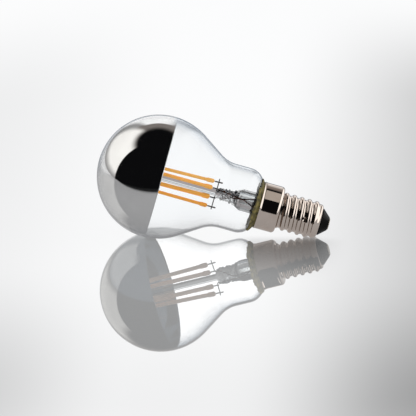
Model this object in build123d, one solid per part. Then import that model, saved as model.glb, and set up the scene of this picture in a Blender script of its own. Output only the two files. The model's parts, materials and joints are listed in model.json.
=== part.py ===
from build123d import *
from math import acos, asin, atan2, cos, degrees, hypot, radians, sin, sqrt, tan
import os

# LED filament lamp with a mirrored crown and a screw cap, lying on its side.
# Each piece is drawn upright on the lamp's own axis: Z runs from the globe's centre towards the cap,
# X is the side that lies uppermost and Y the side that faces the viewer. All sizes are in millimetres.

# Glass envelope
GLOBE_R = 22.5
GLASS_WALL = 0.7
CONE_ANGLE = 33.3
NECK_R = 12.0
NECK_BLEND_R = 10.8
NECK_LEN = 5.6
SHOULDER_R = 6.2
SPUD_LEN = 5.5

# Mirror on the inside of the crown
MIRROR_EDGE = 0.9
MIRROR_FILM = 0.1

# Screw cap
SHEET = 0.3
CAP_GAP = 0.5
SKIRT_R = 8.6
SKIRT_LEN = 7.6
SKIRT_CORNER_R = 1.2
THREAD_LEN = 15.1
THREAD_PITCH = 2.82
THREAD_CREST_R = 6.95
THREAD_ROOT_R = 6.2
THREAD_CREST_W = 0.9
THREAD_CREST_RISE = 0.7
THREAD_FOOT_W = 2.3
THREAD_SINK = 0.7
FIRST_CREST = 1.35
THREAD_RUN_IN = 0.5
THREAD_RUN_OUT = 1.9
RUN_OUT_MARGIN = 0.5
CAP_END_CORNER_R = 0.9
DIMPLE_R = 0.7
DIMPLE_FROM_SKIRT = 9.3
DIMPLE_TURN = 73.0

# Cement between the glass and the cap
CEMENT_GAP = 0.5
CEMENT_BAND = 1.3
CEMENT_PROUD = 0.25

# Insulator and centre contact
INSULATOR_R = 4.95
INSULATOR_TIP_R = 2.6
INSULATOR_COLLAR = 0.35
INSULATOR_CONE = 2.85
INSULATOR_DEPTH = 2.2
CONTACT_R = 2.1
CONTACT_PROUD = 0.35
CONTACT_EDGE_R = 0.2
RIVET_R = 0.9

# Filaments: place of the foot, place of the head, turn of the strip about its length and length of the
# foot pin, for each strip
OUTER_PIN_LEN = 3.0
INNER_PIN_LEN = 2.0
FOOT_1 = (5.2, 2.6)
HEAD_1 = (4.2, 2.2)
FOOT_2 = (2.4, 2.1)
HEAD_2 = (2.2, 1.8)
FOOT_3 = (-2.3, -0.3)
HEAD_3 = (-2.6, 0.3)
FOOT_4 = (-5.7, 0.3)
HEAD_4 = (-5.2, 1.2)
FILAMENTS = [
    (FOOT_1, HEAD_1, 70.0, OUTER_PIN_LEN),
    (FOOT_2, HEAD_2, 50.0, INNER_PIN_LEN),
    (FOOT_3, HEAD_3, 10.0, INNER_PIN_LEN),
    (FOOT_4, HEAD_4, 70.0, OUTER_PIN_LEN),
]
FOOT_Z = 19.7
HEAD_Z = -10.0
STRIP_W = 1.55
STRIP_T = 1.15
BOOT_W = 1.75
BOOT_T = 1.4
BOOT_LEN = 2.5
BOOT_SLOPE = 0.6
TIP_W = 0.75
TIP_T = 0.65
STRIP_EDGE_R = 0.3
PIN_R = 0.25

# Wires that carry the filaments
WIRE_R = 0.2
WELD_GAP = 0.02
CROSS_FROM_FOOT = 1.5
WIRE_BEND_R = 0.4
WIRE_TAIL = 1.1
RISER_SETBACK = 0.7

# Bends of the two leads, which cross in the tube: place and distance below the cross wires
LEAD_A_TOP = 2.8
LEAD_A_NECK = (1.05, 2.3, 10.8)
LEAD_A_TUBE = (-0.75, 1.95, 14.9)
LEAD_A_FLARE = (-2.1, 0.6, 18.3)
LEAD_B_TOP = 2.0
LEAD_B_PRESS = (0.3, 1.5, 6.0)
LEAD_B_NECK = (0.85, 1.6, 9.8)
LEAD_B_TUBE = 14.0
LEAD_STRAIGHT = 21.5

# Glass stem
TUBE_R = 3.95
TUBE_WALL = 0.8
TUBE_TOP_FROM_CROSS = 9.9
PRESS_FROM_CROSS = 0.7
PRESS_END_W = 5.6
PRESS_END_T = 2.5
PRESS_LIP = 1.7
PRESS_W = 6.2
PRESS_T = 3.0
PRESS_LEN = 3.8
PRESS_WAIST = 6.2
PRESS_WAIST_W = 6.0
PRESS_WAIST_T = 4.2
ROD_ROOT = 2.5
ROD_R = 1.2
BEAD_R = 1.6
EXHAUST_R = 1.4
EXHAUST_BORE_R = 0.9
EXHAUST_TAIL = 4.5
EXHAUST_ROOT = 2.5
EXHAUST_HOLE_R = 0.5

# Driver in the cap
BOARD_W = 9.0
BOARD_T = 0.8
BOARD_LEN = 8.2
JOINT_LEN = 1.0
CAPACITOR_R = 2.5
CAPACITOR_LEN = 5.0
CAPACITOR_RIM_R = 0.4
RECTIFIER_SIZE = (4.7, 2.2, 3.9)
CHIP_SIZE = (4.5, 1.5, 2.4)
PACK_STEP = 0.6
WIRE_END_GAP = 0.03

# Places along the axis, each from the last
cone = radians(CONE_ANGLE)
cone_top_z = GLOBE_R * sin(cone)
cone_foot_z = cone_top_z + (GLOBE_R * cos(cone) - NECK_R) / tan(cone)
blend_reach = NECK_BLEND_R * tan(cone / 2)
neck_end_z = cone_foot_z + blend_reach + NECK_LEN
spud_r = SKIRT_R - SHEET - CEMENT_GAP
shoulder_base_r = NECK_R - SHOULDER_R
shoulder_end_z = neck_end_z + sqrt(SHOULDER_R**2 - (spud_r - shoulder_base_r) ** 2)
spud_end_z = shoulder_end_z + SPUD_LEN
skirt_rim_z = shoulder_end_z + CAP_GAP
skirt_end_z = skirt_rim_z + SKIRT_LEN
cap_end_z = skirt_end_z + THREAD_LEN
insulator_face_z = cap_end_z - SHEET - INSULATOR_DEPTH
tip_z = cap_end_z + INSULATOR_COLLAR + INSULATOR_CONE
contact_end_z = tip_z + CONTACT_PROUD
bore_r = THREAD_ROOT_R - SHEET
run_out_end_z = cap_end_z - RUN_OUT_MARGIN
run_out_start_z = run_out_end_z - THREAD_RUN_OUT


def crest_radius(z):
    """Radius of the thread's crest at a height: full, then falling to the root where the thread runs out."""
    faded = (z - run_out_start_z) / THREAD_RUN_OUT
    return THREAD_CREST_R - (THREAD_CREST_R - THREAD_ROOT_R) * min(max(faded, 0.0), 1.0)


# The lamp lies on its globe and on one crest of the thread's underside, which set its tilt
crest_edge_r = THREAD_ROOT_R + THREAD_CREST_RISE * (THREAD_CREST_R - THREAD_ROOT_R)
crest_z = skirt_end_z + FIRST_CREST + THREAD_PITCH / 2
tilts = []
while crest_z < run_out_end_z:
    edge_z = crest_z - THREAD_CREST_W / 2
    for z, r in [(crest_z, crest_radius(crest_z)), (edge_z, min(crest_radius(edge_z), crest_edge_r))]:
        tilts.append(asin(GLOBE_R / hypot(z, r)) - atan2(r, z))
    crest_z += THREAD_PITCH
tilt = min(tilts)
reach = max(
    contact_end_z * cos(tilt) + CONTACT_R * sin(tilt),
    tip_z * cos(tilt) + INSULATOR_TIP_R * sin(tilt),
)
lying = Plane(
    origin=((GLOBE_R - reach) / 2, 0, GLOBE_R),
    x_dir=(sin(tilt), 0, cos(tilt)),
    z_dir=(cos(tilt), 0, -sin(tilt)),
)


def save(name, piece):
    """Lays a piece down as the lamp lies and writes it to its own file."""
    export_step(lying * piece, f"parts/{name}.step")


def section(*points):
    """Closed outline through (radius, height) points, as a face in the plane that is turned about the axis."""
    return make_face(Polyline(*[(r, 0, z) for r, z in points], close=True))


def rounded(face, corners):
    """Rounds named corners of an outline, each given as (radius, height, rounding)."""
    for r, z, rounding in corners:
        corner = face.vertices().sort_by_distance((r, 0, z))[0]
        face = fillet(corner, rounding)
    return face


def wire(points):
    """Round wire that follows straight runs with small bends."""
    path = FilletPolyline(*points, radius=WIRE_BEND_R) if len(points) > 2 else Line(*points)
    start = Plane(origin=path @ 0, z_dir=path % 0)
    return sweep(start * Circle(WIRE_R), path=path)


def glass_form(inset):
    """Body of revolution of the blown bulb, drawn in by an inset: globe, cone, blend, neck, shoulder, spud."""
    globe = GLOBE_R - inset
    neck = NECK_R - inset
    blend = NECK_BLEND_R + inset
    spud = spud_r - inset
    shoulder = SHOULDER_R - inset
    corner_z = globe * sin(cone) + (globe * cos(cone) - neck) / tan(cone)
    pull = blend * tan(cone / 2)
    pole = (0, 0, -globe)
    side = (globe, 0, 0)
    cone_top = (globe * cos(cone), 0, globe * sin(cone))
    cone_end = (neck + pull * sin(cone), 0, corner_z - pull * cos(cone))
    blend_mid = (neck + blend * (1 - cos(cone / 2)), 0, corner_z + pull - blend * sin(cone / 2))
    neck_top = (neck, 0, corner_z + pull)
    neck_end = (neck, 0, neck_end_z)
    turn = atan2(sqrt(shoulder**2 - (spud - shoulder_base_r) ** 2), spud - shoulder_base_r)
    bend = (shoulder_base_r + shoulder * cos(turn / 2), 0, neck_end_z + shoulder * sin(turn / 2))
    spud_top = (spud, 0, neck_end_z + shoulder * sin(turn))
    outline = ThreePointArc(pole, (globe * cos(cone / 2), 0, -globe * sin(cone / 2)), side)
    outline += ThreePointArc(side, (globe * cos(cone / 2), 0, globe * sin(cone / 2)), cone_top)
    outline += Line(cone_top, cone_end)
    outline += ThreePointArc(cone_end, blend_mid, neck_top)
    outline += Line(neck_top, neck_end)
    outline += ThreePointArc(neck_end, bend, spud_top)
    outline += Polyline(spud_top, (spud, 0, spud_end_z), (0, 0, spud_end_z), pole)
    return revolve(make_face(outline), Axis.Z)


def glass_envelope():
    """Blown bulb, open at the end of its spud."""
    return glass_form(0) - glass_form(GLASS_WALL)


def mirror_coating():
    """Silvered film on the inside of the globe, from the crown to the mirror's edge."""
    face_r = GLOBE_R - GLASS_WALL
    film = Sphere(face_r) - Sphere(face_r - MIRROR_FILM)
    crown = Pos(0, 0, MIRROR_EDGE) * Cylinder(
        GLOBE_R, 2 * GLOBE_R, align=(Align.CENTER, Align.CENTER, Align.MAX)
    )
    return film & crown


def cap_core():
    """Deep-drawn sheet of the cap before its thread is rolled: skirt, step, barrel and turned-in end."""
    face = section(
        (SKIRT_R - SHEET, skirt_rim_z),
        (SKIRT_R, skirt_rim_z),
        (SKIRT_R, skirt_end_z),
        (THREAD_ROOT_R, skirt_end_z),
        (THREAD_ROOT_R, cap_end_z),
        (INSULATOR_R, cap_end_z),
        (INSULATOR_R, cap_end_z - SHEET),
        (bore_r, cap_end_z - SHEET),
        (bore_r, skirt_end_z - SHEET),
        (SKIRT_R - SHEET, skirt_end_z - SHEET),
    )
    corners = [
        (SKIRT_R, skirt_end_z, SKIRT_CORNER_R),
        (SKIRT_R - SHEET, skirt_end_z - SHEET, SKIRT_CORNER_R - SHEET),
        (THREAD_ROOT_R, cap_end_z, CAP_END_CORNER_R),
    ]
    return revolve(rounded(face, corners), Axis.Z)


def rolled_thread():
    """Round-crested ridge wound right-handed about the barrel, faded in below the skirt and out at the end."""
    first_z = skirt_end_z + FIRST_CREST - THREAD_PITCH
    turns = int((cap_end_z - first_z) / THREAD_PITCH) + 1
    helix = Helix(THREAD_PITCH, turns * THREAD_PITCH, THREAD_ROOT_R, center=(0, 0, first_z))
    height = THREAD_CREST_R - THREAD_ROOT_R
    half_foot = THREAD_FOOT_W / 2
    half_crest = THREAD_CREST_W / 2
    rise = THREAD_CREST_RISE * height
    sunk = -THREAD_SINK * SHEET
    outline = Polyline((rise, half_crest), (sunk, half_foot), (sunk, -half_foot), (rise, -half_crest))
    outline += ThreePointArc((rise, -half_crest), (height, 0), (rise, half_crest))
    ridge_plane = Plane(origin=helix @ 0, x_dir=(1, 0, 0), z_dir=helix % 0)
    ridge = sweep(ridge_plane * make_face(outline), path=helix, is_frenet=True)
    limits = section(
        (bore_r, skirt_end_z - SHEET / 2),
        (THREAD_ROOT_R, skirt_end_z - SHEET / 2),
        (THREAD_CREST_R + SHEET, skirt_end_z + THREAD_RUN_IN),
        (THREAD_CREST_R + SHEET, run_out_start_z - SHEET * THREAD_RUN_OUT / height),
        (THREAD_ROOT_R, run_out_end_z),
        (bore_r, run_out_end_z),
    )
    return ridge & revolve(limits, Axis.Z)


def cap_shell():
    """Nickel-plated screw cap with a punched dimple on the thread."""
    dimple = Rot(0, 0, DIMPLE_TURN) * Pos(THREAD_CREST_R, 0, skirt_end_z + DIMPLE_FROM_SKIRT)
    return cap_core() + rolled_thread() - dimple * Sphere(DIMPLE_R)


def basing_cement():
    """Cement that fills the skirt round the spud and stands out as a band on the shoulder."""
    skin_r = SHOULDER_R + CEMENT_PROUD
    low = asin((shoulder_end_z - CEMENT_BAND - neck_end_z) / skin_r)
    high = acos((SKIRT_R - shoulder_base_r) / skin_r)
    edge, middle, brow = [
        (shoulder_base_r + skin_r * cos(turn), 0, neck_end_z + skin_r * sin(turn))
        for turn in (low, (low + high) / 2, high)
    ]
    core_r = spud_r - GLASS_WALL / 2
    fill = ThreePointArc(edge, middle, brow)
    fill += Polyline(
        brow,
        (SKIRT_R, 0, skirt_rim_z),
        (SKIRT_R - SHEET, 0, skirt_rim_z),
        (SKIRT_R - SHEET, 0, spud_end_z),
        (core_r, 0, spud_end_z),
        (core_r, 0, edge[2]),
        edge,
    )
    return revolve(make_face(fill), Axis.Z) - glass_form(0)


def insulator():
    """Black glass disc in the cap's end, drawn out to a blunt cone, with a hole for the contact's rivet."""
    body = section(
        (RIVET_R, insulator_face_z),
        (bore_r, insulator_face_z),
        (bore_r, cap_end_z - SHEET),
        (INSULATOR_R, cap_end_z - SHEET),
        (INSULATOR_R, cap_end_z + INSULATOR_COLLAR),
        (INSULATOR_TIP_R, tip_z),
        (RIVET_R, tip_z),
    )
    return revolve(body, Axis.Z)


def centre_contact():
    """Contact plate on the insulator's tip, with its rivet through to the inside."""
    plate = section(
        (0, insulator_face_z),
        (RIVET_R, insulator_face_z),
        (RIVET_R, tip_z),
        (CONTACT_R, tip_z),
        (CONTACT_R, contact_end_z),
        (0, contact_end_z),
    )
    return revolve(rounded(plate, [(CONTACT_R, contact_end_z, CONTACT_EDGE_R)]), Axis.Z)


def along(foot, head, z):
    """Point of a filament's centre line at a height."""
    share = (z - FOOT_Z) / (HEAD_Z - FOOT_Z)
    return (foot[0] + share * (head[0] - foot[0]), foot[1] + share * (head[1] - foot[1]), z)


def filament(foot, head, turn):
    """LED strip in phosphor, lofted from end to end, thicker in the boots over its end pins."""
    low = Vector(*along(foot, head, FOOT_Z))
    high = Vector(*along(foot, head, HEAD_Z))
    run = (high - low).length
    frame = Plane(origin=low, x_dir=(cos(radians(turn)), sin(radians(turn)), 0), z_dir=high - low)
    half = [
        (0, TIP_W, TIP_T),
        (BOOT_SLOPE, BOOT_W, BOOT_T),
        (BOOT_LEN, BOOT_W, BOOT_T),
        (BOOT_LEN + BOOT_SLOPE, STRIP_W, STRIP_T),
    ]
    stations = half + [(run - z, w, t) for z, w, t in reversed(half)]
    rings = [frame * Pos(0, 0, z) * RectangleRounded(w, t, STRIP_EDGE_R) for z, w, t in stations]
    return loft(rings, ruled=True)


def pin(foot, head, z, length):
    """Metal pin that leaves one end of a strip in line with it, downwards for a negative length."""
    start = Vector(*along(foot, head, z))
    end = Vector(*along(foot, head, z + length))
    return Plane(origin=start, z_dir=end - start) * Cylinder(
        PIN_R, (end - start).length, align=(Align.CENTER, Align.CENTER, Align.MIN)
    )


def cross_line(inner, outer, z):
    """Ends of the straight run of wire that lies across an inner and an outer pin and touches both."""
    near = Vector(*along(*inner[:2], z))
    far = Vector(*along(*outer[:2], z))
    heading = (far - near).normalized()
    aside = Vector(heading.Y, -heading.X, 0) * (PIN_R + WIRE_R + WELD_GAP)
    aside = aside if aside.Y < 0 else -aside
    return near + aside - heading * RISER_SETBACK, far + aside + heading * WIRE_TAIL


cross_z = FOOT_Z + CROSS_FROM_FOOT
bridge_z = HEAD_Z - CROSS_FROM_FOOT
press_end_z = cross_z + PRESS_FROM_CROSS
tube_top_z = cross_z + TUBE_TOP_FROM_CROSS
board_top_z = insulator_face_z - BOARD_LEN
riser_a, tail_a = cross_line(FILAMENTS[1], FILAMENTS[0], cross_z)
riser_b, tail_b = cross_line(FILAMENTS[2], FILAMENTS[3], cross_z)
knee_a, top_tail_a = cross_line(FILAMENTS[1], FILAMENTS[0], bridge_z)
knee_b, top_tail_b = cross_line(FILAMENTS[2], FILAMENTS[3], bridge_z)
# The press and the driver stand square to the line between the two risers
spread = riser_a - riser_b
mount_turn = degrees(atan2(spread.Y, spread.X))
riser_side = (riser_a.Y * spread.X - riser_a.X * spread.Y) / spread.length
board_face = riser_side - WIRE_R


def below_cross(place, depth):
    """Point at a place across the stem, at a depth below the cross wires."""
    return Vector(place[0], place[1], cross_z + depth)


def lead_wire(riser, tail, bends):
    """Lead that climbs from the driver through the tube and the press and turns out across two foot pins."""
    return wire([*bends, riser, tail])


def lead_routes():
    """Bends of both leads, from the joint on the driver up to the straight part in the press."""
    joint_depth = board_top_z + JOINT_LEN - cross_z
    place_a = (riser_a.X, riser_a.Y)
    place_b = (riser_b.X, riser_b.Y)
    route_a = [
        below_cross(place_b, joint_depth),
        below_cross(place_b, LEAD_STRAIGHT),
        *[below_cross(bend[:2], bend[2]) for bend in (LEAD_A_FLARE, LEAD_A_TUBE, LEAD_A_NECK)],
        below_cross(place_a, LEAD_A_TOP),
    ]
    route_b = [
        below_cross(place_a, joint_depth),
        below_cross(place_a, LEAD_B_TUBE),
        *[below_cross(bend[:2], bend[2]) for bend in (LEAD_B_NECK, LEAD_B_PRESS)],
        below_cross(place_b, LEAD_B_TOP),
    ]
    return route_a, route_b


def glass_stem(wires):
    """Flare, tube and exhaust tube, pinched into the press, with the rod and its bead: one piece of glass."""
    curl = spud_r - GLASS_WALL - TUBE_R
    rim_r = TUBE_R + curl
    curl_z = spud_end_z - curl
    outer_mid = (rim_r - curl * cos(radians(45)), 0, curl_z + curl * sin(radians(45)))
    wide = curl + TUBE_WALL
    inner_mid = (rim_r - wide * cos(radians(45)), 0, curl_z + wide * sin(radians(45)))
    low_z = spud_end_z + TUBE_WALL
    skin = Polyline((TUBE_R - TUBE_WALL, 0, curl_z), (TUBE_R - TUBE_WALL, 0, tube_top_z))
    skin += Polyline((TUBE_R - TUBE_WALL, 0, tube_top_z), (TUBE_R, 0, tube_top_z), (TUBE_R, 0, curl_z))
    skin += ThreePointArc((TUBE_R, 0, curl_z), outer_mid, (rim_r, 0, spud_end_z))
    skin += Polyline((rim_r, 0, spud_end_z), (spud_r, 0, spud_end_z), (spud_r, 0, low_z), (rim_r, 0, low_z))
    skin += ThreePointArc((rim_r, 0, low_z), inner_mid, (TUBE_R - TUBE_WALL, 0, curl_z))
    flare = revolve(make_face(skin), Axis.Z)
    shape = [
        (press_end_z, PRESS_END_W, PRESS_END_T),
        (press_end_z + PRESS_LIP, PRESS_W, PRESS_T),
        (press_end_z + PRESS_LEN, PRESS_W, PRESS_T),
        (press_end_z + PRESS_WAIST, PRESS_WAIST_W, PRESS_WAIST_T),
        (tube_top_z, 2 * TUBE_R, 2 * TUBE_R),
    ]
    turned = Rot(0, 0, mount_turn)
    press = loft([turned * Pos(0, 0, z) * Ellipse(w / 2, t / 2) for z, w, t in shape])
    rod_top = bridge_z - BEAD_R / 2
    rod = Pos(0, 0, rod_top) * Cylinder(
        ROD_R, press_end_z + ROD_ROOT - rod_top, align=(Align.CENTER, Align.CENTER, Align.MIN)
    )
    bead = Pos(0, 0, bridge_z) * Sphere(BEAD_R)
    exhaust_end_z = spud_end_z + EXHAUST_TAIL
    bore_top_z = tube_top_z - EXHAUST_ROOT
    exhaust = section(
        (0, tube_top_z - TUBE_WALL / 2),
        (EXHAUST_R, tube_top_z - TUBE_WALL / 2),
        (EXHAUST_R, exhaust_end_z - EXHAUST_R),
        (0, exhaust_end_z),
    )
    bore = Pos(0, 0, bore_top_z) * Cylinder(
        EXHAUST_BORE_R,
        exhaust_end_z - 2 * EXHAUST_R - bore_top_z,
        align=(Align.CENTER, Align.CENTER, Align.MIN),
    )
    vent = turned * Pos(0, 0, bore_top_z + EXHAUST_HOLE_R) * Rot(90, 0, 0) * Cylinder(
        EXHAUST_HOLE_R, TUBE_R, align=(Align.CENTER, Align.CENTER, Align.MIN)
    )
    glass = flare + press + rod + bead + revolve(exhaust, Axis.Z) - bore - vent
    for piece in wires:
        glass -= piece
    return glass


def driver():
    """Board that stands on the insulator between the lead wires, with its parts and its two end wires."""
    turned = Rot(0, 0, mount_turn)
    back = board_face - BOARD_T
    low_end = (Align.CENTER, Align.MAX, Align.MIN)
    pieces = {}
    pieces["driver_board"] = Pos(0, board_face, board_top_z) * Box(BOARD_W, BOARD_T, BOARD_LEN, align=low_end)
    can = Cylinder(CAPACITOR_R, CAPACITOR_LEN, align=(Align.CENTER, Align.CENTER, Align.MIN))
    can = fillet(can.edges(), CAPACITOR_RIM_R)
    pieces["smoothing_capacitor"] = Pos(0, board_face + CAPACITOR_R, board_top_z + JOINT_LEN) * can
    rectifier_z = board_top_z + PACK_STEP
    pieces["bridge_rectifier"] = Pos(0, back, rectifier_z) * Box(*RECTIFIER_SIZE, align=low_end)
    chip_z = rectifier_z + RECTIFIER_SIZE[2] + PACK_STEP
    pieces["regulator_chip"] = Pos(0, back, chip_z) * Box(*CHIP_SIZE, align=low_end)
    shell_y = back - WIRE_R
    shell_z = chip_z + CHIP_SIZE[2] / 2
    wall_x = sqrt(bore_r**2 - (abs(shell_y) + WIRE_R) ** 2) - WIRE_END_GAP
    shell_x = CHIP_SIZE[0] / 2 + PACK_STEP
    pieces["shell_wire"] = wire([(shell_x, shell_y, shell_z), (wall_x, shell_y, shell_z)])
    contact_y = board_face + WIRE_R
    contact_z = board_top_z + JOINT_LEN + CAPACITOR_LEN + WIRE_R
    pieces["contact_wire"] = wire([(0, contact_y, contact_z), (0, contact_y, insulator_face_z)])
    return {name: turned * piece for name, piece in pieces.items()}


os.makedirs("parts", exist_ok=True)
save("glass_envelope", glass_envelope())
save("mirror_coating", mirror_coating())

route_a, route_b = lead_routes()
lead_a = lead_wire(riser_a, tail_a, route_a)
lead_b = lead_wire(riser_b, tail_b, route_b)
bridge = wire([top_tail_a, knee_a, knee_b, top_tail_b])
save("lead_wire_a", lead_a)
save("lead_wire_b", lead_b)
save("top_bridge", bridge)
save("glass_stem", glass_stem([lead_a, lead_b, bridge]))

for number, (foot, head, turn, pin_len) in enumerate(FILAMENTS, start=1):
    save(f"filament_{number}", filament(foot, head, turn))
    save(f"filament_pin_{number}_foot", pin(foot, head, FOOT_Z, pin_len))
    save(f"filament_pin_{number}_head", pin(foot, head, HEAD_Z, -OUTER_PIN_LEN))

save("basing_cement", basing_cement())
save("cap_shell", cap_shell())
save("insulator", insulator())
save("centre_contact", centre_contact())
for name, piece in driver().items():
    save(name, piece)
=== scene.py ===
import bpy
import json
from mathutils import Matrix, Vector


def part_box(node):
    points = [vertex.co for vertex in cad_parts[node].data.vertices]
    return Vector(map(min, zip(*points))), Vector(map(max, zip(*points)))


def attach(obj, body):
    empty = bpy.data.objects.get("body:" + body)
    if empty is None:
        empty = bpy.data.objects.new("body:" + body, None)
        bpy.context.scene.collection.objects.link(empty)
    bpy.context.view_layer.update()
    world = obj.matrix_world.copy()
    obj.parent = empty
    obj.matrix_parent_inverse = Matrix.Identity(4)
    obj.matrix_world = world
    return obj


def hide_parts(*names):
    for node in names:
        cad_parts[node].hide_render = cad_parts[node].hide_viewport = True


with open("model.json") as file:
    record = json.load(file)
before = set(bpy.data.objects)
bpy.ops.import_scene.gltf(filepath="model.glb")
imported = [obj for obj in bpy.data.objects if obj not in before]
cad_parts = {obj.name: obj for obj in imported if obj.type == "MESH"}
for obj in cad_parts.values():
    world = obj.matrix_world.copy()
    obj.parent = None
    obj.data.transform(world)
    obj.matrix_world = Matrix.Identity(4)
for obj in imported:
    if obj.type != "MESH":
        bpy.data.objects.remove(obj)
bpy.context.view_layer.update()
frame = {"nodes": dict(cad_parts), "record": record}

import json
from math import acos, asin, atan2, cos, pi, radians, sin, sqrt, tan

import bmesh
import bpy
import numpy as np
from mathutils import Matrix

# Filaments
# Four bars of cured phosphor gel over a strip of small LED chips. Each bar is thicker at both ends, where a
# boot of the same gel grips its pin. Every shape is drawn in millimetres on the lamp's axis, then laid down.
MM = 0.001
STRIP_PLACES = {
    "filament_1": ((5.2, 2.6), (4.2, 2.2), 70.0),
    "filament_2": ((2.4, 2.1), (2.2, 1.8), 50.0),
    "filament_3": ((-2.3, -0.3), (-2.6, 0.3), 10.0),
    "filament_4": ((-5.7, 0.3), (-5.2, 1.2), 70.0),
}
STRIP_FOOT = 19.7
STRIP_HEAD = -10.0
STRIP_W = 1.5
STRIP_T = 1.2
BOOT_W = 1.8
BOOT_T = 1.55
BOOT_LEN = 2.6
BOOT_SLOPE = 0.5
TIP_LEN = 0.9
CHIP_STEP = 1.05
GEL_WAVE = 0.02
GEL_ROUNDNESS = 0.72
GEL_ROWS = 240
GEL_FIRST_ROW = 0.06
GEL_COLUMNS = 40
GEL_DEEP = (0.95, 0.36, 0.03, 1.0)
GEL_PALE = (1.00, 0.60, 0.15, 1.0)
GEL_PAINTED_SHADE = (0.24, 0.16, 0.11, 1.0)
GEL_PAINTED_GLOW = 0.3
GEL_GRAIN = 0.02
PAINTED_LIGHT_SIDE = (5.0, -6.0)
PAINTED_LIGHT_UPWARDS = 0.4
PALER_IN_CLOUDS = 0.35
POLE_MERGE = 2e-7
SECOND_BOUNCE = 1.5

thread_mount = next(m for m in frame["record"]["mounts"] if m["name"] == "screw_thread")
lamp_axis = np.array(thread_mount["axis"]) / np.linalg.norm(thread_mount["axis"])
viewer_side = np.array((0.0, -1.0, 0.0))
upper_side = np.cross(viewer_side, lamp_axis)
tilt = asin(-lamp_axis[2])
glass_low, glass_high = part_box("glass_envelope")
globe_r = (glass_high.y - glass_low.y) / 2 / MM
globe_centre = np.array((glass_low.x + globe_r * MM, 0.0, glass_low.z + globe_r * MM))


def lay(x, y, s):
    """Point on the lying lamp: globe's centre + x along the upper side + y to the viewer + s on the axis."""
    x, y, s = np.broadcast_arrays(x, y, s)
    return globe_centre + MM * (
        x[..., None] * upper_side + y[..., None] * viewer_side + s[..., None] * lamp_axis
    )


def smooth(x):
    """Step from 0 to 1 with level ends: 3x^2 - 2x^3, for x held between 0 and 1."""
    x = np.clip(x, 0.0, 1.0)
    return x * x * (3.0 - 2.0 * x)


def skin_faces(rows, columns, ring):
    """Corners of the quads between a grid's rows and columns; columns always close, rows close in a ring."""
    a, b = np.meshgrid(np.arange(rows if ring else rows - 1), np.arange(columns), indexing="ij")
    lower = a * columns
    upper = (a + 1) % rows * columns
    right = (b + 1) % columns
    return np.stack((lower + b, lower + right, upper + right, upper + b), -1).reshape(-1, 4)


def outward(points, quads):
    """Turns every quad round if the skin's signed volume, the sum of its corner tetrahedra, is negative."""
    p, q, r, t = (points[quads[:, k]] for k in range(4))
    volume = np.einsum("ij,ij->", p, np.cross(q, r)) + np.einsum("ij,ij->", p, np.cross(r, t))
    return quads if volume > 0 else quads[:, ::-1]


def skin(name, shells, node):
    """Piece from closed grids of points, given as (grid, ring, hollow); poles merge, faces point outwards.

    A hollow shell, such as a bubble, has its faces turned to its own middle. The piece rides on the lamp
    and stands for its node."""
    points = []
    faces = []
    start = 0
    for grid, ring, hollow in shells:
        rows, columns = grid.shape[:2]
        flat = grid.reshape(-1, 3)
        quads = outward(flat - flat.mean(0), skin_faces(rows, columns, ring))
        points.append(flat)
        faces.append(start + (quads[:, ::-1] if hollow else quads))
        start += len(flat)
    mesh = bpy.data.meshes.new(name)
    mesh.from_pydata(np.concatenate(points).tolist(), [], np.concatenate(faces).tolist())
    work = bmesh.new()
    work.from_mesh(mesh)
    bmesh.ops.remove_doubles(work, verts=work.verts, dist=POLE_MERGE)
    work.to_mesh(mesh)
    work.free()
    mesh.polygons.foreach_set("use_smooth", np.ones(len(mesh.polygons), dtype=bool))
    piece = bpy.data.objects.new(name, mesh)
    bpy.context.scene.collection.objects.link(piece)
    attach(piece, "root")
    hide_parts(node)
    return piece


def gel_bar(foot, head, turn):
    """Superellipse section carried along the straight line from foot to head, with half-sizes that step up
    in the boots, taper at the tips and swell a little over each chip."""
    length = STRIP_FOOT - STRIP_HEAD
    rows = 0.5 * length * (1 - np.cos(np.linspace(GEL_FIRST_ROW, 1, GEL_ROWS) * pi))
    along = np.concatenate(([0.0], np.minimum(rows, length), [length]))
    from_end = np.minimum(along, length - along)
    boot = 1 - smooth((from_end - BOOT_LEN) / BOOT_SLOPE)
    tip = np.sqrt(np.clip(1 - (1 - np.clip(from_end / TIP_LEN, 0, 1)) ** 2, 0, 1))
    swell = GEL_WAVE * np.cos(2 * pi * along / CHIP_STEP) * (1 - boot)
    half_w = tip * (STRIP_W + (BOOT_W - STRIP_W) * boot + swell) / 2
    half_t = tip * (STRIP_T + (BOOT_T - STRIP_T) * boot + swell) / 2
    around = np.linspace(0, 2 * pi, GEL_COLUMNS, endpoint=False)
    across = half_w[:, None] * np.sign(np.cos(around)) * np.abs(np.cos(around)) ** GEL_ROUNDNESS
    deep = half_t[:, None] * np.sign(np.sin(around)) * np.abs(np.sin(around)) ** GEL_ROUNDNESS
    share = along[:, None] / length
    lean = radians(turn)
    x = foot[0] + share * (head[0] - foot[0]) + across * cos(lean) - deep * sin(lean)
    y = foot[1] + share * (head[1] - foot[1]) + across * sin(lean) + deep * cos(lean)
    return lay(x, y, (STRIP_FOOT - along)[:, None])


def set_sockets(node, **values):
    """Sets plain values on a node's sockets, with underscores in the names for spaces."""
    for socket, value in values.items():
        node.inputs[socket.replace("_", " ")].default_value = value


def feed(tree, node, **sources):
    """Links sources to a node's sockets, with underscores in the names for spaces."""
    for socket, source in sources.items():
        tree.links.new(source, node.inputs[socket.replace("_", " ")])


def math_of(tree, operation, *values):
    """Result of a math node on sockets or plain numbers."""
    node = tree.nodes.new("ShaderNodeMath")
    node.operation = operation
    for socket, value in zip(node.inputs, values):
        if isinstance(value, (int, float)):
            socket.default_value = value
        else:
            tree.links.new(value, socket)
    return node.outputs[0]


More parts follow.
